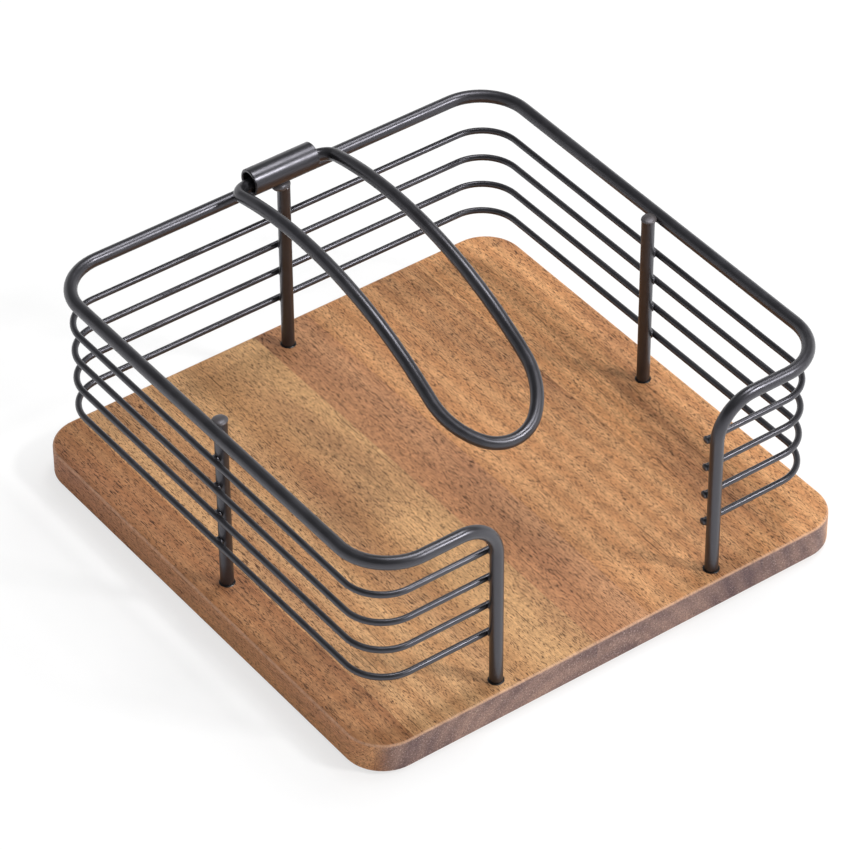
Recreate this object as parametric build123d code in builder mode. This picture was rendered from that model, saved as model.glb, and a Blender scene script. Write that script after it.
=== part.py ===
from build123d import *
from math import cos, radians, sin
import os

# Flat napkin holder: an open wire guard on a square wooden board, with a swinging
# hold-down arm. Millimetres, +Z up, +Y from the open front to the back. The origin is
# at the centre of the footprint, on the surface that the holder stands on.

# Board
board_side = 190.0
board_thickness = 11.0
board_corner = 14.0
board_top_round = 0.8
board_bottom_round = 0.6

# Non-slip pads under the board
pad_diameter = 12.0
pad_thickness = 1.2
pad_inset = 20.0
pad_edge = 0.3

# Guard: a heavy top rail that ends in the two front legs, thin wires below it, and posts
rail_diameter = 4.5
rail_side = 178.5
rail_height = 79.5
rail_corner = 18.0
leg_spacing = 86.5
leg_bend = 14.0
wire_diameter = 2.2
wire_corner = 14.0
wire_count = 4
wire_lowest = 30.8
wire_pitch = 11.4
wire_overrun = 1.5
post_rise = 0.6
post_edge = 0.5
side_post_forward = 1.7

# Legs and posts stand on the floors of blind holes in the board
hole_clearance = 0.25
hole_depth = 8.0
weld_depth = 0.08

# Hinge sleeve, welded on the inner shoulder of the back rail
sleeve_length = 25.5
sleeve_diameter = 9.5
sleeve_bore = 7.2
sleeve_lean = 26.0
sleeve_edge = 0.3

# Hold-down arm: one hairpin of the rail's wire
arm_spacing = 37.6
arm_bend = 5.5
arm_pin_gap = 5.0
arm_pin_play = 0.35
arm_rise = 13.0
arm_bow_radius = 136.0
arm_bow_angle = 45.0
arm_loop_length = 23.5
arm_loop_shoulder = 45.0

# Worked-out places
rail_r = rail_diameter / 2
wire_r = wire_diameter / 2
board_bottom = pad_thickness
board_top = board_bottom + board_thickness
hole_floor = board_top - hole_depth
rail_half = rail_side / 2
leg_x = leg_spacing / 2
post_offset = rail_half - rail_diameter + weld_depth
post_top = rail_height + post_rise
wire_half = post_offset + rail_r + wire_r - weld_depth
wire_front = -rail_half + rail_r + wire_r - weld_depth
wire_end_x = leg_x - wire_overrun
wire_heights = [wire_lowest + wire_pitch * i for i in reversed(range(wire_count))]

os.makedirs("parts", exist_ok=True)


def finish(piece, label):
    """Name a piece and write it to its own STEP file."""
    piece.part.label = label
    export_step(piece.part, f"parts/{label}.step")


# Square board with rounded corners, eased edges and five blind holes for the wire ends
leg_places = [(-leg_x, -rail_half), (leg_x, -rail_half)]
post_places = {
    "post_left": (-post_offset, -side_post_forward),
    "post_right": (post_offset, -side_post_forward),
    "post_back": (0, post_offset),
}
with BuildPart() as board:
    with BuildSketch(Plane.XY.offset(board_bottom)):
        RectangleRounded(board_side, board_side, board_corner)
    extrude(amount=board_thickness)
    fillet(board.faces().sort_by(Axis.Z)[-1].edges(), board_top_round)
    fillet(board.faces().sort_by(Axis.Z)[0].edges(), board_bottom_round)
    with Locations(Plane.XY.offset(board_top)):
        with Locations(*leg_places, *post_places.values()):
            Hole(rail_r + hole_clearance, depth=hole_depth)
finish(board, "base_board")

# Four pads, one in from each corner
pad_reach = board_side / 2 - pad_inset
for depth_name, y in (("front", -pad_reach), ("back", pad_reach)):
    for side_name, x in (("left", -pad_reach), ("right", pad_reach)):
        with BuildPart() as pad:
            with BuildSketch():
                with Locations((x, y)):
                    Circle(pad_diameter / 2)
            extrude(amount=pad_thickness)
            chamfer(pad.edges().group_by(Axis.Z)[0], pad_edge)
        finish(pad, f"foot_pad_{depth_name}_{side_name}")

# Top rail: up the left leg, round the left, back and right sides, and down the right leg
with BuildPart() as rail:
    with BuildLine() as rail_path:
        FilletPolyline(
            (-leg_x, -rail_half, hole_floor),
            (-leg_x, -rail_half, rail_height),
            (-rail_half, -rail_half, rail_height),
            (-rail_half, rail_half, rail_height),
            (rail_half, rail_half, rail_height),
            (rail_half, -rail_half, rail_height),
            (leg_x, -rail_half, rail_height),
            (leg_x, -rail_half, hole_floor),
            radius=[leg_bend] + [rail_corner] * 4 + [leg_bend],
        )
    with BuildSketch(Plane(rail_path.wire() @ 0, z_dir=rail_path.wire() % 0)):
        Circle(rail_r)
    sweep(path=rail_path.wire())
finish(rail, "top_rail")

# Thin guard wires: outside the posts, and welded to the backs of the front legs, which
# their cut ends run a little past
for number, height in enumerate(wire_heights, start=1):
    with BuildPart() as guard_wire:
        with BuildLine() as wire_path:
            FilletPolyline(
                (-wire_end_x, wire_front, height),
                (-wire_half, wire_front, height),
                (-wire_half, wire_half, height),
                (wire_half, wire_half, height),
                (wire_half, wire_front, height),
                (wire_end_x, wire_front, height),
                radius=wire_corner,
            )
        with BuildSketch(Plane(wire_path.wire() @ 0, z_dir=wire_path.wire() % 0)):
            Circle(wire_r)
        sweep(path=wire_path.wire())
    finish(guard_wire, f"guard_wire_{number}")

# Posts: straight rods inside the rail, one to each closed side
for label, place in post_places.items():
    with BuildPart() as post:
        with BuildSketch(Plane.XY.offset(hole_floor)):
            with Locations(place):
                Circle(rail_r)
        extrude(amount=post_top - hole_floor)
        chamfer(post.edges().group_by(Axis.Z)[-1], post_edge)
    finish(post, label)

# Hinge sleeve: a short tube that leans inwards on top of the back rail
sleeve_reach = sleeve_diameter / 2 + rail_r - weld_depth
sleeve_y = rail_half - sleeve_reach * sin(radians(sleeve_lean))
sleeve_z = rail_height + sleeve_reach * cos(radians(sleeve_lean))
with BuildPart() as sleeve:
    with BuildSketch(Plane.YZ):
        with Locations((sleeve_y, sleeve_z)):
            Circle(sleeve_diameter / 2)
            Circle(sleeve_bore / 2, mode=Mode.SUBTRACT)
    extrude(amount=sleeve_length / 2, both=True)
    chamfer(sleeve.edges().filter_by(GeomType.CIRCLE), sleeve_edge)
finish(sleeve, "hinge_sleeve")

# Hold-down arm. Its pins lie in the sleeve, low in the bore. Each leg rises a little from
# the hinge, bows over on one large radius, and runs into a loop with a tighter nose.
arm_x = arm_spacing / 2
hinge_y = sleeve_y
hinge_z = sleeve_z - (sleeve_bore / 2 - rail_r - arm_pin_play)
slope_end = arm_bow_angle - arm_rise
leg_start = (
    arm_x,
    hinge_y - arm_bend * cos(radians(arm_rise)),
    hinge_z + arm_bend * sin(radians(arm_rise)),
)
leg_direction = (0, -cos(radians(arm_rise)), sin(radians(arm_rise)))

# The loop's nose radius and shoulder radius follow from its half width and its length
shoulder = radians(arm_loop_shoulder)
loop_nose = (arm_x * sin(shoulder) + arm_loop_length * (cos(shoulder) - 1)) / (
    sin(shoulder) + cos(shoulder) - 1
)
loop_shoulder = (arm_x - loop_nose * cos(shoulder)) / (1 - cos(shoulder))

with BuildPart() as arm:
    with BuildLine() as arm_path:
        pin = Line((arm_pin_gap / 2, hinge_y, hinge_z), (arm_x - arm_bend, hinge_y, hinge_z))
        bend = TangentArc(pin @ 1, leg_start, tangent=pin % 1)
        bow_plane = Plane(leg_start, x_dir=leg_direction, z_dir=(1, 0, 0))
        with BuildLine(bow_plane) as bow:
            JernArc((0, 0), (1, 0), arm_bow_radius, arm_bow_angle)
        loop_normal = (0, sin(radians(slope_end)), -cos(radians(slope_end)))
        loop_plane = Plane(bow.line @ 1, x_dir=bow.line % 1, z_dir=loop_normal)
        with BuildLine(loop_plane) as loop:
            flank = JernArc((0, 0), (1, 0), loop_shoulder, arm_loop_shoulder)
            JernArc(flank @ 1, flank % 1, loop_nose, 90 - arm_loop_shoulder)
        mirror(about=Plane.YZ)
    with BuildSketch(Plane(arm_path.wire() @ 0, z_dir=arm_path.wire() % 0)):
        Circle(rail_r)
    sweep(path=arm_path.wire())
finish(arm, "press_arm")
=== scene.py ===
"""Dressed model of a flat napkin holder: open wire guard, wooden board, swinging hold-down arm."""
import logging
import math
from dataclasses import dataclass, field
from enum import Enum

import bpy
from bpy.types import ID, Material, Node, NodeSocket, NodeTree, Object
from mathutils import Matrix, Vector


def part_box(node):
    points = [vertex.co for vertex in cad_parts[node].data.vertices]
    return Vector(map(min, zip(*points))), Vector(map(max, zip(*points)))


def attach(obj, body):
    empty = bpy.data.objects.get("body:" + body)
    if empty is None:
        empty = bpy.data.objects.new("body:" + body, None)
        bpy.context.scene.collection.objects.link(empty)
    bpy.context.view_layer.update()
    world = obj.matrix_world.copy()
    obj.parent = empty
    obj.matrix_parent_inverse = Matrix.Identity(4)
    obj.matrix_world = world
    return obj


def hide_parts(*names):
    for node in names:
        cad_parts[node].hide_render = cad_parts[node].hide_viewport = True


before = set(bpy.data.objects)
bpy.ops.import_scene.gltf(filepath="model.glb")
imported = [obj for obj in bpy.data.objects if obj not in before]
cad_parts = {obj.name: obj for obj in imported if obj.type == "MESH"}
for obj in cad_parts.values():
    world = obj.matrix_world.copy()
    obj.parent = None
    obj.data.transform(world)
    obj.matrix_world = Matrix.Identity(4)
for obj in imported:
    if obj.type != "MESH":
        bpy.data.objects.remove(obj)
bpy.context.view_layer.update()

Triple = tuple[float, float, float]
Colour = tuple[float, float, float, float]

LOG = logging.getLogger("napkin_holder")
MM = 0.001
METRES_TO_MM = 1000.0
MERGE_DISTANCE = 0.002 * MM

# Degrees: edges sharper than these stay sharp, on a CAD wire's copy and on a new piece
CUT_END_ANGLE = 40.0
NEW_PIECE_ANGLE = 50.0

# One wave of Blender's wave texture at scale 1
WAVE_LENGTH = 2 * math.pi / 20

# Millimetres over the board's top, so far that height never counts
WELL_ABOVE = 50.0


class Body(Enum):
    """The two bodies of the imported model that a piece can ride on."""

    HOLDER = "holder"
    ARM = "arm"


def linear(hex_colour: str) -> Colour:
    """Turns an sRGB hex colour into the linear colour that a socket takes.

    Args:
        hex_colour: Six hex digits, red first.

    Returns:
        Linear red, green and blue, and an alpha of 1.
    """
    parts = [int(hex_colour[i : i + 2], 16) / 255 for i in (0, 2, 4)]
    red, green, blue = [c / 12.92 if c <= 0.04045 else ((c + 0.055) / 1.055) ** 2.4 for c in parts]
    return red, green, blue, 1.0


def add(
    tree: NodeTree,
    kind: str,
    inputs: dict[str | int, object] | None = None,
    stops: list[tuple[float, Colour]] | None = None,
    **settings: object,
) -> Node:
    """Adds one node to a tree, with its settings, its values and its links.

    Args:
        tree: Node tree that takes the node.
        kind: Blender's name for the shader node, without ShaderNode.
        inputs: Socket name or number, and the value or the output socket for it.
        stops: Positions and colours of a colour ramp.
        settings: The node's own properties.

    Returns:
        The new node.
    """
    made = tree.nodes.new(f"ShaderNode{kind}")
    for name, value in settings.items():
        setattr(made, name, value)
    for key, value in (inputs or {}).items():
        if isinstance(value, NodeSocket):
            tree.links.new(value, made.inputs[key])
        else:
            made.inputs[key].default_value = value
    if stops:
        ramp = made.color_ramp
        while len(ramp.elements) < len(stops):
            ramp.elements.new(0.5)
        for element, (position, colour) in zip(ramp.elements, stops):
            element.position = position
            element.color = colour
    return made


def grey(level: float) -> Colour:
    """A linear grey for a colour ramp."""
    return level, level, level, 1.0


def new_material(name: str) -> tuple[Material, NodeTree, Node]:
    """Makes a node material that holds only its position in millimetres.

    Args:
        name: Name of the material.

    Returns:
        The material, its node tree, and the node that gives the position in millimetres.
    """
    material = bpy.data.materials.new(name)
    material.use_nodes = True
    tree = material.node_tree
    tree.nodes.clear()
    place = add(tree, "TexCoord")
    millimetres = add(
        tree, "VectorMath", {0: place.outputs["Object"], "Scale": METRES_TO_MM}, operation="SCALE"
    )
    return material, tree, millimetres


def finish_material(tree: NodeTree, surface: Node) -> None:
    """Links a surface shader to the material's output."""
    add(tree, "OutputMaterial", {"Surface": surface.outputs[0]})


@dataclass(frozen=True)
class Marks:
    """Noise drawn out along the grain, as marks of a real width and length in millimetres."""

    width: float
    length: float
    detail: float
    roughness: float
    density: float = 1.0
    shift: Triple = (0.0, 0.0, 0.0)

    def draw(self, tree: NodeTree, place: NodeSocket) -> NodeSocket:
        """Adds the noise to a tree.

        Args:
            tree: Node tree that takes it.
            place: Position in millimetres.

        Returns:
            The noise's value.
        """
        drawn_out = add(
            tree,
            "Mapping",
            {
                "Vector": place,
                "Location": self.shift,
                "Scale": (1 / self.width, 1 / self.length, 1 / self.width),
            },
        )
        noise = add(
            tree,
            "TexNoise",
            {
                "Vector": drawn_out.outputs[0],
                "Scale": self.density,
                "Detail": self.detail,
                "Roughness": self.roughness,
            },
        )
        return noise.outputs["Fac"]


@dataclass(frozen=True)
class WoodPattern:
    """The sockets of the solid pattern that the wood's faces share."""

    tree: NodeTree
    place: NodeSocket
    own_place: NodeSocket
    stave: NodeSocket
    rings: NodeSocket
    streaks: NodeSocket
    fibres: NodeSocket
    mottle: NodeSocket
    tone: NodeSocket


@dataclass(frozen=True)
class OiledAcacia:
    """Acacia staves, edge-glued, sanded and oiled: warm brown with fine dark pores along the grain.

    The pattern is solid, so the pores are dashes on the top and dots on the end grain, and the
    figure runs on round the corners as it does in cut wood. Sizes are in millimetres. Pores, flecks
    and checks are drawn a little wider than real ones, which are too fine to show.
    """

    # The first colour, for the narrow stave left of x = -79 mm, is darkened as painted shade: it stands for a
    # cast shadow along the board's left strip
    staves: tuple[str, ...] = ("AC7B52", "CA9C6D", "C99C6C", "BE8B63", "CD9868", "D79F6C")
    stave_edges: tuple[float, ...] = (-79.0, -40.0, -8.0, 14.0, 60.0)
    stave_jump: Triple = (170.0, 900.0, 60.0)
    late_wood: Triple = (0.84, 0.76, 0.7)
    heart_wood: str = "8F5D40"
    pore: str = "3C2113"
    end_grain: str = "957669"
    end_grain_dark: str = "5F4848"
    end_speck: str = "CDB8AC"
    # Partly sanded wood, partly a painted highlight along the rounded top edge
    sanded_edge_and_highlight: str = "CFA68A"
    ring_spacing: float = 7.0
    ring_draw: float = 0.12
    pith: Triple = (-85.0, 0.0, 20.0)
    streaks: Marks = Marks(width=26.0, length=95.0, detail=4.0, roughness=0.55)
    fibres: Marks = Marks(width=0.5, length=9.0, detail=3.0, roughness=0.65)
    mottle: Marks = Marks(width=1.0, length=2.0, detail=3.0, roughness=0.7)
    pores: Marks = Marks(width=0.34, length=3.2, detail=1.0, roughness=0.4, density=0.8)
    flecks: Marks = Marks(width=0.24, length=1.2, detail=1.0, roughness=0.5, density=0.8)
    checks: Marks = Marks(0.3, 17.0, detail=1.0, roughness=0.5, density=0.6, shift=(3.0, 8.0, 5.0))
    specks_per_mm: float = 2.1
    cut_depth: float = 0.12
    roughness: float = 0.52
    ior: float = 1.5

    # Where the paler edge, sanded wood and painted highlight, starts and is full: in from the outline, and
    # down from the top
    edge_reach: tuple[float, float] = (0.9, 0.4)
    edge_depth: tuple[float, float] = (0.8, 0.35)

    def build(self, side: float, top: float, corner: float) -> Material:
        """Makes the wood's material.

        Args:
            side: Side of the board in millimetres.
            top: Height of the board's top face in millimetres.
            corner: Radius of the board's corners in millimetres.

        Returns:
            The material.
        """
        material, tree, place = new_material("oiled_acacia_edge_glued")
        pattern = self.lay_pattern(tree, place.outputs[0], side)
        pores = self.open_pores(pattern)
        wood = self.join_faces(pattern, self.long_grain(pattern, pores), self.end_face(pattern))
        # The top edge is painted paler: partly sanded wood, partly a painted highlight
        colour = self.pale_edge_sanding_and_highlight(pattern, wood, side / 2 - corner, top, corner)

        # Pores and fibres are cut a little into the face, and the oil shines least in them
        relief = add(tree, "Math", {0: pattern.fibres, 1: pores}, operation="SUBTRACT")
        bump = add(
            tree, "Bump", {"Height": relief.outputs[0], "Strength": 0.35, "Distance": self.cut_depth * MM}
        )
        gloss = add(
            tree,
            "MapRange",
            {
                "Value": relief.outputs[0],
                "From Min": -0.6,
                "From Max": 0.7,
                "To Min": self.roughness + 0.2,
                "To Max": self.roughness - 0.06,
            },
        )
        surface = add(
            tree,
            "BsdfPrincipled",
            {
                "Base Color": colour,
                "Roughness": gloss.outputs[0],
                "IOR": self.ior,
                "Specular IOR Level": 0.35,
                "Normal": bump.outputs[0],
            },
        )
        finish_material(tree, surface)
        return material

    def lay_pattern(self, tree: NodeTree, place: NodeSocket, side: float) -> WoodPattern:
        """Lays the staves side by side, and adds the rings, streaks, fibres and mottle.

        Args:
            tree: The material's node tree.
            place: Position in millimetres.
            side: Side of the board in millimetres.

        Returns:
            The pattern's sockets.
        """
        # Each stave has its own colour, and its own place in the solid pattern; the first stave's darker
        # colour is painted shade
        xyz = add(tree, "SeparateXYZ", {0: place})
        across = add(
            tree, "MapRange", {"Value": xyz.outputs["X"], "From Min": -side / 2, "From Max": side / 2}
        )
        starts = [0.0] + [(edge + side / 2) / side for edge in self.stave_edges]
        stave = add(
            tree,
            "ValToRGB",
            {"Fac": across.outputs[0]},
            stops=[(start, linear(colour)) for start, colour in zip(starts, self.staves)],
        )
        stave.color_ramp.interpolation = "CONSTANT"
        jump = add(tree, "VectorMath", {0: stave.outputs["Color"], 1: self.stave_jump}, operation="MULTIPLY")
        own = add(tree, "VectorMath", {0: place, 1: jump.outputs[0]}, operation="ADD")
        own_place = own.outputs[0]

        # Annual rings about a pith that lies below the board, drawn out along the grain
        ring_place = add(
            tree, "Mapping", {"Vector": own_place, "Location": self.pith, "Scale": (1.0, self.ring_draw, 1.0)}
        )
        rings = add(
            tree,
            "TexWave",
            {
                "Vector": ring_place.outputs[0],
                "Scale": WAVE_LENGTH / self.ring_spacing,
                "Distortion": 5.0,
                "Detail": 3.0,
                "Detail Scale": 0.35,
                "Detail Roughness": 0.55,
            },
            wave_type="RINGS",
            rings_direction="Y",
        )

        # Fibres give the oiled face its silk, and mottle is interlocked grain in soft patches
        fibres = self.fibres.draw(tree, own_place)
        fibre_tone = add(
            tree,
            "MapRange",
            {"Value": fibres, "From Min": 0.25, "From Max": 0.75, "To Min": 0.78, "To Max": 1.2},
        )
        mottle = self.mottle.draw(tree, own_place)
        mottle_tone = add(
            tree,
            "MapRange",
            {"Value": mottle, "From Min": 0.25, "From Max": 0.75, "To Min": 0.73, "To Max": 1.3},
        )
        tone = add(tree, "Math", {0: fibre_tone.outputs[0], 1: mottle_tone.outputs[0]}, operation="MULTIPLY")
        return WoodPattern(
            tree=tree,
            place=place,
            own_place=own_place,
            stave=stave.outputs["Color"],
            rings=rings.outputs["Fac"],
            streaks=self.streaks.draw(tree, own_place),
            fibres=fibres,
            mottle=mottle,
            tone=tone.outputs[0],
        )

    def open_pores(self, pattern: WoodPattern) -> NodeSocket:
        """Adds pores in clusters, finer flecks between them, and a few long surface checks.

        Args:
            pattern: The solid pattern.

        Returns:
            How open the wood is, from 0 to 1.
        """
        tree = pattern.tree
        pores = add(
            tree,
            "MapRange",
            {"Value": self.pores.draw(tree, pattern.own_place), "From Min": 0.62, "From Max": 0.7},
        )
        clusters = add(
            tree,
            "MapRange",
            {
                "Value": pattern.streaks,
                "From Min": 0.36,
                "From Max": 0.62,
                "To Min": 0.25,
                "To Max": 0.95,
            },
        )
        clustered = add(tree, "Math", {0: pores.outputs[0], 1: clusters.outputs[0]}, operation="MULTIPLY")
        flecks = add(
            tree,
            "MapRange",
            {
                "Value": self.flecks.draw(tree, pattern.own_place),
                "From Min": 0.56,
                "From Max": 0.68,
                "To Max": 0.82,
            },
        )
        checks = add(
            tree,
            "MapRange",
            {
                "Value": self.checks.draw(tree, pattern.own_place),
                "From Min": 0.69,
                "From Max": 0.75,
                "To Max": 0.8,
            },
        )
        both = add(tree, "Math", {0: clustered.outputs[0], 1: flecks.outputs[0]}, operation="MAXIMUM")
        deepest = add(tree, "Math", {0: both.outputs[0], 1: checks.outputs[0]}, operation="MAXIMUM")
        return deepest.outputs[0]

    def long_grain(self, pattern: WoodPattern, pores: NodeSocket) -> NodeSocket:
        """Colours the wood as it is cut along the grain.

        Args:
            pattern: The solid pattern.
            pores: How open the wood is.

        Returns:
            The colour.
        """
        tree = pattern.tree
        late = add(tree, "VectorMath", {0: pattern.stave, 1: self.late_wood}, operation="MULTIPLY")
        season = add(
            tree, "Mix", {"Factor": pattern.rings, "A": pattern.stave, "B": late.outputs[0]}, data_type="RGBA"
        )
        heart = add(
            tree, "MapRange", {"Value": pattern.streaks, "From Min": 0.5, "From Max": 0.74, "To Max": 0.75}
        )
        figure = add(
            tree,
            "Mix",
            {
                "Factor": heart.outputs[0],
                "A": season.outputs["Result"],
                "B": linear(self.heart_wood),
            },
            data_type="RGBA",
        )
        lit = add(tree, "VectorMath", {0: figure.outputs["Result"], "Scale": pattern.tone}, operation="SCALE")
        pored = add(
            tree, "Mix", {"Factor": pores, "A": lit.outputs[0], "B": linear(self.pore)}, data_type="RGBA"
        )
        return pored.outputs["Result"]

    def end_face(self, pattern: WoodPattern) -> NodeSocket:
        """Colours the end grain: greyer, with the pores as pale filled specks.

        Args:
            pattern: The solid pattern.

        Returns:
            The colour.
        """
        tree = pattern.tree
        streaks = add(
            tree, "MapRange", {"Value": pattern.streaks, "From Min": 0.35, "From Max": 0.65, "To Max": 0.75}
        )
        rings = add(
            tree, "Math", {0: pattern.rings, 1: 0.35, 2: streaks.outputs[0]}, operation="MULTIPLY_ADD"
        )
        figure = add(tree, "Math", {0: rings.outputs[0], 1: 1.0}, operation="MINIMUM")
        colour = add(
            tree,
            "Mix",
            {
                "Factor": figure.outputs[0],
                "A": linear(self.end_grain),
                "B": linear(self.end_grain_dark),
            },
            data_type="RGBA",
        )
        lit = add(tree, "VectorMath", {0: colour.outputs["Result"], "Scale": pattern.tone}, operation="SCALE")
        specks = add(
            tree,
            "TexNoise",
            {
                "Vector": pattern.own_place,
                "Scale": self.specks_per_mm,
                "Detail": 2.5,
                "Roughness": 0.75,
            },
        )
        filled = add(
            tree,
            "MapRange",
            {"Value": specks.outputs["Fac"], "From Min": 0.57, "From Max": 0.7, "To Max": 0.75},
        )
        open_ends = add(
            tree,
            "MapRange",
            {
                "Value": specks.outputs["Fac"],
                "From Min": 0.32,
                "From Max": 0.5,
                "To Min": 0.62,
                "To Max": 1.02,
            },
        )
        pored = add(tree, "VectorMath", {0: lit.outputs[0], "Scale": open_ends.outputs[0]}, operation="SCALE")
        face = add(
            tree,
            "Mix",
            {"Factor": filled.outputs[0], "A": pored.outputs[0], "B": linear(self.end_speck)},
            data_type="RGBA",
        )
        return face.outputs["Result"]

    def join_faces(self, pattern: WoodPattern, long_grain: NodeSocket, end_face: NodeSocket) -> NodeSocket:
        """Gives each face of the board the cut that it shows, by the way it faces.

        Args:
            pattern: The solid pattern.
            long_grain: Colour along the grain.
            end_face: Colour of the end grain.

        Returns:
            The colour.
        """
        tree = pattern.tree
        normal = add(tree, "TexCoord").outputs["Normal"]
        facing = add(tree, "SeparateXYZ", {0: normal})
        endways = add(tree, "Math", {0: facing.outputs["Y"]}, operation="ABSOLUTE")
        end = add(
            tree,
            "MapRange",
            {"Value": endways.outputs[0], "From Min": 0.62, "From Max": 0.99},
            interpolation_type="SMOOTHSTEP",
        )

        # Painted light: the faces that look along X, the board's left and right sides, are drawn up to 1.32
        # times lighter than the long-grain colour
        sideways = add(tree, "Math", {0: facing.outputs["X"]}, operation="ABSOLUTE")
        painted_side_light = add(
            tree,
            "MapRange",
            {
                "Value": sideways.outputs[0],
                "From Min": 0.3,
                "From Max": 0.9,
                "To Min": 1.0,
                "To Max": 1.32,
            },
            interpolation_type="SMOOTHSTEP",
        )
        sides_painted_lighter = add(tree, "VectorMath", {0: long_grain, "Scale": painted_side_light.outputs[0]}, operation="SCALE")
        wood = add(
            tree, "Mix", {"Factor": end.outputs[0], "A": sides_painted_lighter.outputs[0], "B": end_face}, data_type="RGBA"
        )
        return wood.outputs["Result"]

    def pale_edge_sanding_and_highlight(
        self, pattern: WoodPattern, wood: NodeSocket, inner: float, top: float, corner: float
    ) -> NodeSocket:
        """Paints the eased top edge paler, by how near a point is to the rounded outline: partly sanded wood,
        partly a painted highlight on the rounded edge.

        Args:
            pattern: The solid pattern.
            wood: Colour of the faces.
            inner: Distance of the corners' centres from the middle planes in millimetres.
            top: Height of the board's top face in millimetres.
            corner: Radius of the board's corners in millimetres.

        Returns:
            The colour.
        """
        tree = pattern.tree
        folded = add(tree, "VectorMath", {0: pattern.place}, operation="ABSOLUTE")
        past = add(
            tree,
            "VectorMath",
            {0: folded.outputs[0], 1: (inner, inner, top + WELL_ABOVE)},
            operation="SUBTRACT",
        )
        outside = add(tree, "VectorMath", {0: past.outputs[0], 1: (0.0, 0.0, 0.0)}, operation="MAXIMUM")
        reach = add(tree, "VectorMath", {0: outside.outputs[0]}, operation="LENGTH")
        near_edge = add(
            tree,
            "MapRange",
            {
                "Value": reach.outputs["Value"],
                "From Min": corner - self.edge_reach[0],
                "From Max": corner - self.edge_reach[1],
            },
        )
        height = add(tree, "SeparateXYZ", {0: pattern.place})
        near_top = add(
            tree,
            "MapRange",
            {
                "Value": height.outputs["Z"],
                "From Min": top - self.edge_depth[0],
                "From Max": top - self.edge_depth[1],
            },
        )
        # The pale edge is partly sanded wood and partly a painted highlight, broken up by the mottle
        edge = add(tree, "Math", {0: near_edge.outputs[0], 1: near_top.outputs[0]}, operation="MULTIPLY")
        worn_and_highlit = add(tree, "Math", {0: edge.outputs[0], 1: pattern.mottle}, operation="MULTIPLY")
        colour = add(
            tree,
            "Mix",
            {"Factor": worn_and_highlit.outputs[0], "A": wood, "B": linear(self.sanded_edge_and_highlight)},
            data_type="RGBA",
        )
        return colour.outputs["Result"]


@dataclass(frozen=True)
class PowderCoat:
    """Satin black polyester powder, sprayed on steel and stoved: near black, with soft cool highlights."""

    name: str = "satin_black_powder_coated_steel"
    coat: str = "18181A"
    thin_coat: str = "29292C"
    sheen: str = "E8E6F2"
    roughness: float = 0.33
    ior: float = 1.82
    cloud_size: float = 7.0
    grains_per_mm: float = 2.4
    peel_size: float = 1.3
    peel_depth: float = 0.007

    def build(self) -> Material:
        """Makes the coated steel's material.

        Returns:
            The material.
        """
        material, tree, place = new_material(self.name)
        clouds = add(
            tree,
            "TexNoise",
            {"Vector": place.outputs[0], "Scale": 1 / self.cloud_size, "Detail": 2.0, "Roughness": 0.5},
        )
        grains = add(
            tree,
            "TexNoise",
            {"Vector": place.outputs[0], "Scale": self.grains_per_mm, "Detail": 2.0, "Roughness": 0.6},
        )
        thin = add(
            tree,
            "MapRange",
            {"Value": clouds.outputs["Fac"], "From Min": 0.4, "From Max": 0.75, "To Max": 0.45},
        )
        grained = add(
            tree,
            "MapRange",
            {"Value": grains.outputs["Fac"], "From Min": 0.58, "From Max": 0.72, "To Max": 0.5},
        )
        shown = add(tree, "Math", {0: thin.outputs[0], 1: grained.outputs[0]}, operation="MAXIMUM")
        colour = add(
            tree,
            "Mix",
            {"Factor": shown.outputs[0], "A": linear(self.coat), "B": linear(self.thin_coat)},
            data_type="RGBA",
        )
        peel = add(
            tree,
            "TexNoise",
            {"Vector": place.outputs[0], "Scale": 1 / self.peel_size, "Detail": 2.0, "Roughness": 0.45},
        )
        bump = add(
            tree, "Bump", {"Height": peel.outputs["Fac"], "Strength": 0.4, "Distance": self.peel_depth * MM}
        )
        gloss = add(
            tree,
            "MapRange",
            {
                "Value": clouds.outputs["Fac"],
                "From Min": 0.3,
                "From Max": 0.7,
                "To Min": self.roughness - 0.04,
                "To Max": self.roughness + 0.06,
            },
        )
        surface = add(
            tree,
            "BsdfPrincipled",
            {
                "Base Color": colour.outputs["Result"],
                "Roughness": gloss.outputs[0],
                "IOR": self.ior,
                "Specular Tint": linear(self.sheen),
                "Normal": bump.outputs[0],
            },
        )
        finish_material(tree, surface)
        return material


@dataclass(frozen=True)
class MouldedRubber:
    """Black nitrile rubber, compression moulded: matt, with a fine mould texture and pale dust in it."""

    rubber: str = "1F1F20"
    dust: str = "3B3A38"
    grit_size: float = 0.5
    grit_depth: float = 0.06
    dust_size: float = 3.0
    roughness: float = 0.82
    ior: float = 1.52

    def build(self) -> Material:
        """Makes the pads' material.

        Returns:
            The material.
        """
        material, tree, place = new_material("moulded_black_rubber")
        grit = add(
            tree,
            "TexNoise",
            {"Vector": place.outputs[0], "Scale": 1 / self.grit_size, "Detail": 3.0, "Roughness": 0.6},
        )
        dust = add(tree, "TexNoise", {"Vector": place.outputs[0], "Scale": 1 / self.dust_size, "Detail": 2.0})
        dusty = add(
            tree, "MapRange", {"Value": dust.outputs["Fac"], "From Min": 0.45, "From Max": 0.7, "To Max": 0.7}
        )
        colour = add(
            tree,
            "Mix",
            {"Factor": dusty.outputs[0], "A": linear(self.rubber), "B": linear(self.dust)},
            data_type="RGBA",
        )
        bump = add(
            tree, "Bump", {"Height": grit.outputs["Fac"], "Strength": 0.5, "Distance": self.grit_depth * MM}
        )
        surface = add(
            tree,
            "BsdfPrincipled",
            {
                "Base Color": colour.outputs["Result"],
                "Roughness": self.roughness,
                "IOR": self.ior,
                "Normal": bump.outputs[0],
            },
        )
        finish_material(tree, surface)
        return material


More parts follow.
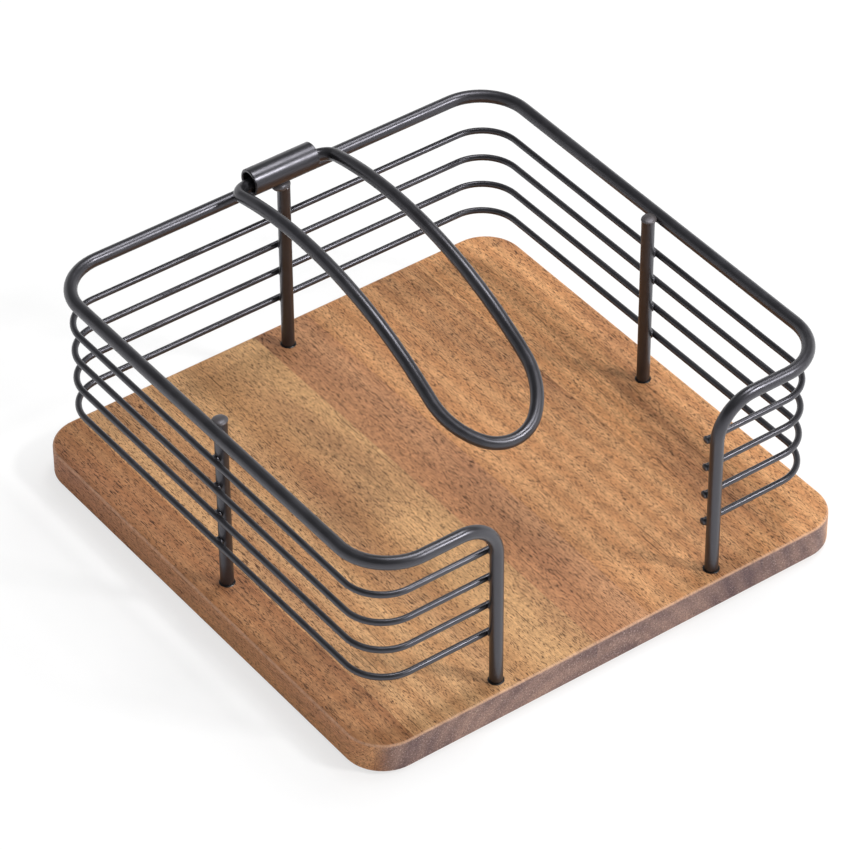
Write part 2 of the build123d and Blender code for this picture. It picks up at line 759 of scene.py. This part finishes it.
@dataclass(frozen=True)
class BlackEpoxy:
    """Black two-part epoxy, squeezed out and cured: glossy and almost black, with dust at its rim."""

    resin: str = "131211"
    rim: str = "3A2A1F"
    spot_size: float = 0.8
    spot_depth: float = 0.1
    roughness: float = 0.3
    ior: float = 1.55

    def build(self) -> Material:
        """Makes the glue's material.

        Returns:
            The material.
        """
        material, tree, place = new_material("cured_black_epoxy")
        spots = add(
            tree, "TexNoise", {"Vector": place.outputs[0], "Scale": 1 / self.spot_size, "Detail": 2.0}
        )
        dusty = add(
            tree,
            "MapRange",
            {"Value": spots.outputs["Fac"], "From Min": 0.5, "From Max": 0.75, "To Max": 0.6},
        )
        colour = add(
            tree,
            "Mix",
            {"Factor": dusty.outputs[0], "A": linear(self.resin), "B": linear(self.rim)},
            data_type="RGBA",
        )
        bump = add(
            tree, "Bump", {"Height": spots.outputs["Fac"], "Strength": 0.4, "Distance": self.spot_depth * MM}
        )
        surface = add(
            tree,
            "BsdfPrincipled",
            {
                "Base Color": colour.outputs["Result"],
                "Roughness": self.roughness,
                "IOR": self.ior,
                "Normal": bump.outputs[0],
            },
        )
        finish_material(tree, surface)
        return material


def box_corner(node: str, which: int) -> Vector:
    """A dataclass field for a CAD node's lowest (0) or highest (1) corner."""
    return field(default_factory=lambda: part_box(node)[which])


@dataclass
class Workshop:
    """Sizes read from the CAD parts' meshes, in metres, for the sub-assemblies."""

    board_low: Vector = box_corner("base_board", 0)
    board_high: Vector = box_corner("base_board", 1)
    rail_low: Vector = box_corner("top_rail", 0)
    rail_high: Vector = box_corner("top_rail", 1)
    back_post_low: Vector = box_corner("post_back", 0)
    back_post_high: Vector = box_corner("post_back", 1)
    side_post_low: Vector = box_corner("post_right", 0)
    side_post_high: Vector = box_corner("post_right", 1)
    sleeve_low: Vector = box_corner("hinge_sleeve", 0)
    sleeve_high: Vector = box_corner("hinge_sleeve", 1)

    @property
    def wire_radius(self) -> float:
        """Radius of the heavy wire."""
        return (self.back_post_high.x - self.back_post_low.x) / 2

    @property
    def rail_half(self) -> float:
        """Distance of the rail's centre line from the middle plane."""
        return self.rail_high.x - self.wire_radius

    @property
    def post_half(self) -> float:
        """Distance of the posts' centre lines from the middle plane."""
        return self.back_post_high.y - self.wire_radius

    @property
    def rail_height(self) -> float:
        """Height of the rail's centre line."""
        return self.rail_high.z - self.wire_radius

    @property
    def leg_half(self) -> float:
        """Works out how far the legs stand from the middle plane, from the rail's right cut end.

        Returns:
            Distance of their centre lines.
        """
        reach = self.rail_low.z + self.wire_radius
        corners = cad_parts["top_rail"].data.vertices
        ends = [corner.co.x for corner in corners if corner.co.z < reach and corner.co.x > 0]
        return (min(ends) + max(ends)) / 2

    @property
    def side_post_y(self) -> float:
        """How far back the side posts stand."""
        return (self.side_post_low.y + self.side_post_high.y) / 2

    @property
    def post_top(self) -> float:
        """Height of the posts' cut ends."""
        return self.back_post_high.z


def start_clean() -> None:
    """Leaves edit mode and deselects everything, so that an operator acts only on what it adds."""
    if bpy.context.object and bpy.context.object.mode != "OBJECT":
        bpy.ops.object.mode_set(mode="OBJECT")
    bpy.ops.object.select_all(action="DESELECT")


def only(piece: Object) -> None:
    """Selects one object and makes it the active one.

    Args:
        piece: Object to select.
    """
    start_clean()
    piece.select_set(True)
    bpy.context.view_layer.objects.active = piece


def new_object(name: str, data: ID) -> Object:
    """Adds an object to the scene, at the origin.

    Args:
        name: Name of the object.
        data: Its mesh, camera or lamp.

    Returns:
        The object.
    """
    made = bpy.data.objects.new(name, data)
    bpy.context.scene.collection.objects.link(made)
    return made


def dress(piece: Object, material: Material) -> None:
    """Gives an object one material and nothing else."""
    piece.data.materials.clear()
    piece.data.materials.append(material)


def copy_to(pattern: Object, places: list[Matrix], name: str) -> Object:
    """Copies a finished shape to several places and joins the copies into one piece.

    Args:
        pattern: Shape that stands at the origin.
        places: Where each copy goes.
        name: Name of the piece.

    Returns:
        The joined piece, with its places in its mesh.
    """
    copies = []
    for place in places:
        mesh = pattern.data.copy()
        mesh.transform(place)
        copies.append(new_object(name, mesh))
    start_clean()
    for made in copies:
        made.select_set(True)
    bpy.context.view_layer.objects.active = copies[0]
    if len(copies) > 1:
        bpy.ops.object.join()
    piece = copies[0]
    piece.name = name
    only(piece)
    bpy.ops.object.shade_smooth_by_angle(angle=math.radians(NEW_PIECE_ANGLE))
    return piece


def smooth_wire(node: str, body: Body, steel: Material) -> None:
    """Stands a smoothly shaded copy of a bent wire in its place.

    The straight and bent stretches of a packed wire are separate faces, and a dark ring shows
    where two of them meet, so the copy's corners are merged.

    Args:
        node: Name of the CAD wire.
        body: Body that it moves with.
        steel: The coated steel's material.
    """
    piece = new_object(f"coated_{node}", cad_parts[node].data.copy())
    only(piece)
    bpy.ops.object.mode_set(mode="EDIT")
    bpy.ops.mesh.select_all(action="SELECT")
    bpy.ops.mesh.remove_doubles(threshold=MERGE_DISTANCE)
    bpy.ops.object.mode_set(mode="OBJECT")
    bpy.ops.object.shade_smooth_by_angle(angle=math.radians(CUT_END_ANGLE))
    even = piece.modifiers.new("even_shading", "WEIGHTED_NORMAL")
    even.keep_sharp = True
    bpy.ops.object.modifier_apply(modifier=even.name)
    dress(piece, steel)
    ride(piece, body)
    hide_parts(node)


def ride(piece: Object, body: Body) -> None:
    """Sets which body a new piece moves with.

    Args:
        piece: Finished piece.
        body: Body that it moves with.
    """
    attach(piece, body.value)
    LOG.info("%s rides on %s", piece.name, body.value)


@dataclass
class Board:
    """The wooden board, and the glue that shows where the wires go into it."""

    shop: Workshop
    corner: float = 14.0 * MM
    ring_radius: float = 2.45 * MM
    ring_bead: float = 0.3 * MM
    ring_steps: int = 40
    bead_steps: int = 8
    bead_flatness: float = 0.75
    ring_turn: float = 1.9

    # How much the bead swells, how often round the ring, and where the swell starts
    swells: tuple[tuple[float, int, float], ...] = ((0.16, 2, 0.7), (0.1, 5, 0.0), (0.06, 11, 0.0))

    def dress(self, wood: Material) -> None:
        """Gives the board its wood."""
        dress(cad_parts["base_board"], wood)
        LOG.info("base_board is oiled acacia")

    def build_glue_ring(self) -> Object:
        """Makes one uneven ring of glue, round the origin.

        Returns:
            The ring.
        """
        start_clean()
        bpy.ops.mesh.primitive_torus_add(
            major_radius=self.ring_radius,
            minor_radius=self.ring_bead,
            major_segments=self.ring_steps,
            minor_segments=self.bead_steps,
        )
        ring = bpy.context.object
        for vertex in ring.data.vertices:
            turn = math.atan2(vertex.co.y, vertex.co.x)
            swell = sum((size * math.sin(often * turn + start) for size, often, start in self.swells), 1)
            flat = Vector((vertex.co.x, vertex.co.y, 0))
            core = flat.normalized() * self.ring_radius
            vertex.co = core + (vertex.co - core) * swell
            vertex.co.z *= self.bead_flatness
        return ring

    def build_glue(self, glue: Material) -> None:
        """Puts a ring of glue round the foot of each leg and post.

        Args:
            glue: The glue's material.
        """
        top = self.shop.board_high.z
        feet = {
            "left_leg": (-self.shop.leg_half, -self.shop.rail_half),
            "right_leg": (self.shop.leg_half, -self.shop.rail_half),
            "left_post": (-self.shop.post_half, self.shop.side_post_y),
            "right_post": (self.shop.post_half, self.shop.side_post_y),
            "back_post": (0.0, self.shop.post_half),
        }
        pattern = self.build_glue_ring()
        for number, (name, (x, y)) in enumerate(feet.items()):
            turn = Matrix.Rotation(number * self.ring_turn, 4, "Z")
            ring = copy_to(pattern, [Matrix.Translation((x, y, top)) @ turn], f"glue_ring_{name}")
            dress(ring, glue)
            ride(ring, Body.HOLDER)
        bpy.data.objects.remove(pattern)


@dataclass
class Guard:
    """The top rail, the four thin wires, the posts, and the welds that join them."""

    shop: Workshop
    wires: tuple[str, ...] = ("guard_wire_1", "guard_wire_2", "guard_wire_3", "guard_wire_4")
    posts: tuple[str, ...] = ("post_left", "post_right", "post_back")
    weld_size: Triple = (1.75 * MM, 1.25 * MM, 1.8 * MM)
    weld_segments: int = 16
    weld_rings: int = 10
    lump_size: float = 1.1 * MM
    lump_height: float = 0.3 * MM
    burr_size: Triple = (0.95 * MM, 1.45 * MM, 1.35 * MM)
    burr_turn: float = 1.3
    cap_size: Triple = (3.05 * MM, 2.7 * MM, 0.95 * MM)
    neck_size: Triple = (3.6 * MM, 2.75 * MM, 1.7 * MM)
    cap_lean: float = 0.35 * MM
    cap_sink: float = 0.1 * MM
    cap_turns: Triple = (15.0, 200.0, 8.0)

    def dress(self, steel: Material) -> None:
        """Gives the rail, wires and posts their coat.

        Args:
            steel: The coated steel's material.
        """
        for name in ("top_rail", *self.wires):
            smooth_wire(name, Body.HOLDER, steel)
        for name in self.posts:
            dress(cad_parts[name], steel)
            LOG.info("%s is coated steel", name)

    def build_weld(self) -> Object:
        """Makes the flash of one resistance weld at the origin: a flattened, lumpy bead.

        Returns:
            The weld.
        """
        start_clean()
        bpy.ops.mesh.primitive_uv_sphere_add(
            segments=self.weld_segments, ring_count=self.weld_rings, radius=1.0, scale=self.weld_size
        )
        weld = bpy.context.object
        bpy.ops.object.transform_apply(location=False, rotation=False, scale=True)
        lumps = bpy.data.textures.new("weld_lumps", "CLOUDS")
        lumps.noise_scale = self.lump_size
        rough = weld.modifiers.new("lumps", "DISPLACE")
        rough.texture = lumps
        rough.strength = self.lump_height
        rough.mid_level = 0.5
        smooth = weld.modifiers.new("smooth", "SUBSURF")
        smooth.levels = smooth.render_levels = 1
        for modifier in ("lumps", "smooth"):
            bpy.ops.object.modifier_apply(modifier=modifier)
        return weld

    def grown(self, size: Triple) -> Matrix:
        """Works out the scaling that brings a weld to another size.

        Args:
            size: The size wanted.

        Returns:
            The scaling.
        """
        grow = [wanted / had for wanted, had in zip(size, self.weld_size)]
        return Matrix.Diagonal((*grow, 1.0))

    def weld_places(self) -> dict[str, list[Matrix]]:
        """Works out where wires touch posts and legs.

        Returns:
            The welds of each upright, by the upright's name.
        """
        heights = [(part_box(wire)[0].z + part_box(wire)[1].z) / 2 for wire in self.wires]
        side = self.shop.post_half + self.shop.wire_radius
        front = -self.shop.rail_half + self.shop.wire_radius
        leg = self.shop.leg_half
        quarter = Matrix.Rotation(math.radians(90), 4, "Z")
        uprights = {
            "left_post": ((-side, self.shop.side_post_y), quarter),
            "right_post": ((side, self.shop.side_post_y), quarter),
            "back_post": ((0.0, side), Matrix.Identity(4)),
            "left_leg": ((-leg, front), Matrix.Identity(4)),
            "right_leg": ((leg, front), Matrix.Identity(4)),
        }
        places = {}
        for name, ((x, y), turn) in uprights.items():
            places[name] = []
            for number, height in enumerate(heights):
                flip = Matrix.Rotation(math.radians(180 * (number % 2)), 4, "Z")
                places[name].append(Matrix.Translation((x, y, height)) @ turn @ flip)
        return places

    def end_places(self) -> list[Matrix]:
        """Works out where the thin wires' cut ends lie, past the legs.

        Returns:
            A place for the burr on each end.
        """
        grow = self.grown(self.burr_size)
        places = []
        for number, wire in enumerate(self.wires):
            low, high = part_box(wire)
            radius = (high.z - low.z) / 2
            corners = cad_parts[wire].data.vertices
            inner = min(abs(corner.co.x) for corner in corners if corner.co.y < low.y + 2 * radius)
            for side in (-1, 1):
                turn = Matrix.Rotation(number * self.burr_turn + side, 4, "X")
                centre = (side * inner, low.y + radius, (low.z + high.z) / 2)
                places.append(Matrix.Translation(centre) @ turn @ grow)
        return places

    def build_welds(self, steel: Material) -> None:
        """Puts a weld at each crossing, one piece to each post or leg.

        Args:
            steel: The coated steel's material.
        """
        pattern = self.build_weld()
        for name, places in self.weld_places().items():
            welds = copy_to(pattern, places, f"welds_{name}")
            dress(welds, steel)
            ride(welds, Body.HOLDER)
        burrs = copy_to(pattern, self.end_places(), "burrs_on_wire_ends")
        dress(burrs, steel)
        ride(burrs, Body.HOLDER)
        bpy.data.objects.remove(pattern)

    def build_caps(self, weld_metal: Material) -> None:
        """Puts the flattened weld on each post's top, where it is run into the rail.

        The back post's is run on to the sleeve above it, so it is the biggest.

        Args:
            weld_metal: The thinly coated weld's material.
        """
        lean = self.cap_lean
        tops = {
            "left_post": (-self.shop.post_half - lean, self.shop.side_post_y, self.cap_size),
            "right_post": (self.shop.post_half + lean, self.shop.side_post_y, self.cap_size),
            "back_post": (-2 * lean, self.shop.post_half + lean, self.neck_size),
        }
        pattern = self.build_weld()
        for (name, (x, y, size)), degrees in zip(tops.items(), self.cap_turns):
            place = Matrix.Translation((x, y, self.shop.post_top - self.cap_sink))
            turn = Matrix.Rotation(math.radians(degrees), 4, "Z")
            cap = copy_to(pattern, [place @ turn @ self.grown(size)], f"weld_cap_{name}")
            dress(cap, weld_metal)
            ride(cap, Body.HOLDER)
        bpy.data.objects.remove(pattern)


@dataclass
class Hinge:
    """The sleeve on the back rail, and the beads that hold it there."""

    shop: Workshop
    guard: Guard
    sleeve: str = "hinge_sleeve"
    bead_size: Triple = (2.9 * MM, 1.05 * MM, 1.0 * MM)
    bead_reach: float = 1.35 * MM
    bead_from_end: float = 3.6 * MM

    def build_beads(self, steel: Material) -> None:
        """Runs short beads into the two valleys between the sleeve and the rail, near both ends.

        Args:
            steel: The coated steel's material.
        """
        rail = Vector((0.0, self.shop.rail_half, self.shop.rail_height))
        tube = (self.shop.sleeve_low + self.shop.sleeve_high) / 2
        towards = Vector((0.0, tube.y - rail.y, tube.z - rail.z)).normalized()
        across = Vector((0.0, towards.z, -towards.y))
        contact = rail + towards * self.shop.wire_radius
        end = self.shop.sleeve_high.x - self.bead_from_end
        pattern = self.guard.build_weld()
        grow = self.guard.grown(self.bead_size)
        places = []
        for side in (-1, 1):
            for valley in (-1, 1):
                centre = contact + across * (valley * self.bead_reach) + Vector((side * end, 0.0, 0.0))
                flip = Matrix.Rotation(math.pi if side != valley else 0.0, 4, "X")
                places.append(Matrix.Translation(centre) @ flip @ grow)
        beads = copy_to(pattern, places, "welds_hinge_sleeve")
        dress(beads, steel)
        ride(beads, Body.HOLDER)
        bpy.data.objects.remove(pattern)

    def dress(self, steel: Material) -> None:
        """Gives the sleeve its coat."""
        dress(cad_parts[self.sleeve], steel)
        LOG.info("%s is coated steel", self.sleeve)


@dataclass
class PressArm:
    """The arm that swings in the sleeve."""

    node: str = "press_arm"

    def dress(self, steel: Material) -> None:
        """Gives the arm its coat."""
        smooth_wire(self.node, Body.ARM, steel)


@dataclass
class Feet:
    """The four pads under the board."""

    pads: tuple[str, ...] = (
        "foot_pad_front_left",
        "foot_pad_front_right",
        "foot_pad_back_left",
        "foot_pad_back_right",
    )

    def dress(self, rubber: Material) -> None:
        """Gives the pads their rubber.

        Args:
            rubber: The rubber's material.
        """
        for name in self.pads:
            dress(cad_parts[name], rubber)
            LOG.info("%s is rubber", name)


@dataclass
class Camera:
    """The camera, at the photograph's place and angle."""

    azimuth: float = -36.208
    elevation: float = 40.395
    roll: float = -0.336
    distance: float = 1525.453 * MM
    focal_pixels: float = 4711.55
    image_pixels: float = 850.0
    sensor: float = 36.0
    clip: tuple[float, float] = (0.05, 50.0)
    target: Triple = (-6.242 * MM, -1.941 * MM, 38.214 * MM)

    def build(self) -> None:
        """Adds the camera and makes it the scene's."""
        azimuth, elevation, roll = map(math.radians, (self.azimuth, self.elevation, self.roll))
        back = Vector(
            (
                math.sin(azimuth) * math.cos(elevation),
                -math.cos(azimuth) * math.cos(elevation),
                math.sin(elevation),
            )
        )
        level = Vector((math.cos(azimuth), math.sin(azimuth), 0.0))
        upright = back.cross(level)
        right = level * math.cos(roll) + upright * math.sin(roll)
        above = upright * math.cos(roll) - level * math.sin(roll)
        data = bpy.data.cameras.new("photo_camera")
        data.sensor_width = self.sensor
        data.lens = self.focal_pixels * self.sensor / self.image_pixels
        data.clip_start, data.clip_end = self.clip
        camera = new_object("photo_camera", data)
        place = Matrix.Translation(Vector(self.target) + back * self.distance)
        turn = Matrix((right, above, back)).transposed()
        camera.matrix_world = place @ turn.to_4x4()
        bpy.context.scene.camera = camera


@dataclass
class Studio:
    """White floor, and soft light at a plain level, mostly from the upper right."""

    floor_size: float = 12.0
    floor: str = "FBFBFB"
    glow: float = 0.68
    sky: float = 0.5
    ceiling: float = 0.16
    ceiling_falls: tuple[float, float] = (0.15, 0.5)
    key_power: float = 20.0
    key_size: float = 0.7
    key_place: Triple = (0.68, 0.14, 2.0)
    fill_power: float = 23.0
    fill_size: float = 0.3
    fill_place: Triple = (0.99, -1.32, 1.43)
    lean: float = 0.2

    def build_floor(self) -> None:
        """Adds the floor."""
        start_clean()
        bpy.ops.mesh.primitive_plane_add(size=self.floor_size)
        floor = bpy.context.object
        floor.name = "studio_floor"
        material = bpy.data.materials.new("white_paper_floor")
        material.use_nodes = True
        tree = material.node_tree
        tree.nodes.clear()
        paper = add(tree, "BsdfDiffuse", {"Color": linear(self.floor)})
        white = add(tree, "Emission", {"Color": grey(1.0), "Strength": 1.0})
        path = add(tree, "LightPath")
        share = add(tree, "Math", {0: path.outputs["Is Camera Ray"], 1: self.glow}, operation="MULTIPLY")
        surface = add(tree, "MixShader", {"Fac": share.outputs[0], 1: paper.outputs[0], 2: white.outputs[0]})
        finish_material(tree, surface)
        dress(floor, material)

    def build_world(self) -> None:
        """Lights the scene from all round, and shows the camera and the gloss a white background."""
        world = bpy.data.worlds.new("soft_room")
        bpy.context.scene.world = world
        world.use_nodes = True
        tree = world.node_tree
        tree.nodes.clear()
        path = add(tree, "LightPath")
        direction = add(tree, "TexCoord")
        rise = add(tree, "SeparateXYZ", {0: direction.outputs["Generated"]})
        sweep = add(
            tree,
            "MapRange",
            {
                "Value": rise.outputs["Z"],
                "From Min": self.ceiling_falls[0],
                "From Max": self.ceiling_falls[1],
                "To Min": 1.0,
                "To Max": self.ceiling,
            },
            interpolation_type="SMOOTHSTEP",
        )
        side = add(
            tree,
            "MapRange",
            {"Value": rise.outputs["X"], "From Min": -1.0, "To Min": 1 - self.lean, "To Max": 1 + self.lean},
        )
        soft = add(tree, "Math", {0: side.outputs[0], 1: self.sky}, operation="MULTIPLY")
        gloss = add(tree, "Math", {0: side.outputs[0], 1: sweep.outputs[0]}, operation="MULTIPLY")
        light = add(tree, "Background", {"Color": grey(1.0), "Strength": soft.outputs[0]})
        room = add(tree, "Background", {"Color": grey(1.0), "Strength": gloss.outputs[0]})
        white = add(tree, "Background", {"Color": grey(1.0), "Strength": 1.0})
        reflected = add(
            tree, "MixShader", {"Fac": path.outputs["Is Glossy Ray"], 1: light.outputs[0], 2: room.outputs[0]}
        )
        seen = add(
            tree,
            "Math",
            {0: path.outputs["Is Camera Ray"], 1: path.outputs["Is Transmission Ray"]},
            operation="MAXIMUM",
        )
        shown = add(tree, "MixShader", {"Fac": seen.outputs[0], 1: reflected.outputs[0], 2: white.outputs[0]})
        add(tree, "OutputWorld", {"Surface": shown.outputs[0]})

    def build_lamp(self, name: str, power: float, size: float, place: Triple) -> None:
        """Adds one square soft lamp that looks at the holder.

        Args:
            name: Name of the lamp.
            power: Watts.
            size: Side in metres.
            place: Where it stands, in metres.
        """
        data = bpy.data.lights.new(name, "AREA")
        data.energy = power
        data.size = size
        lamp = new_object(name, data)
        lamp.location = place
        lamp.rotation_euler = (-Vector(place)).to_track_quat("-Z", "Y").to_euler()

    def build(self) -> None:
        """Adds the floor, the world and the lamps."""
        self.build_floor()
        self.build_world()
        self.build_lamp("key_lamp", self.key_power, self.key_size, self.key_place)
        self.build_lamp("fill_lamp", self.fill_power, self.fill_size, self.fill_place)
        bpy.context.scene.view_settings.view_transform = "Standard"


def main() -> None:
    """Builds and dresses each sub-assembly, then the studio."""
    logging.basicConfig(level=logging.INFO, format="%(name)s: %(message)s")
    shop = Workshop()
    steel = PowderCoat().build()
    rubber = MouldedRubber().build()
    glue = BlackEpoxy().build()

    board = Board(shop)
    wood = OiledAcacia().build(
        side=(shop.board_high.x - shop.board_low.x) * METRES_TO_MM,
        top=shop.board_high.z * METRES_TO_MM,
        corner=board.corner * METRES_TO_MM,
    )
    board.dress(wood)
    board.build_glue(glue)

    guard = Guard(shop)
    guard.dress(steel)
    guard.build_welds(steel)
    weld_metal = PowderCoat(
        name="thin_powder_over_weld", coat="3E3A3A", thin_coat="6E6561", roughness=0.42
    ).build()
    guard.build_caps(weld_metal)

    hinge = Hinge(shop, guard)
    hinge.dress(steel)
    hinge.build_beads(steel)
    PressArm().dress(steel)
    Feet().dress(rubber)

    Camera().build()
    Studio().build()


if __name__ == "__main__":
    main()
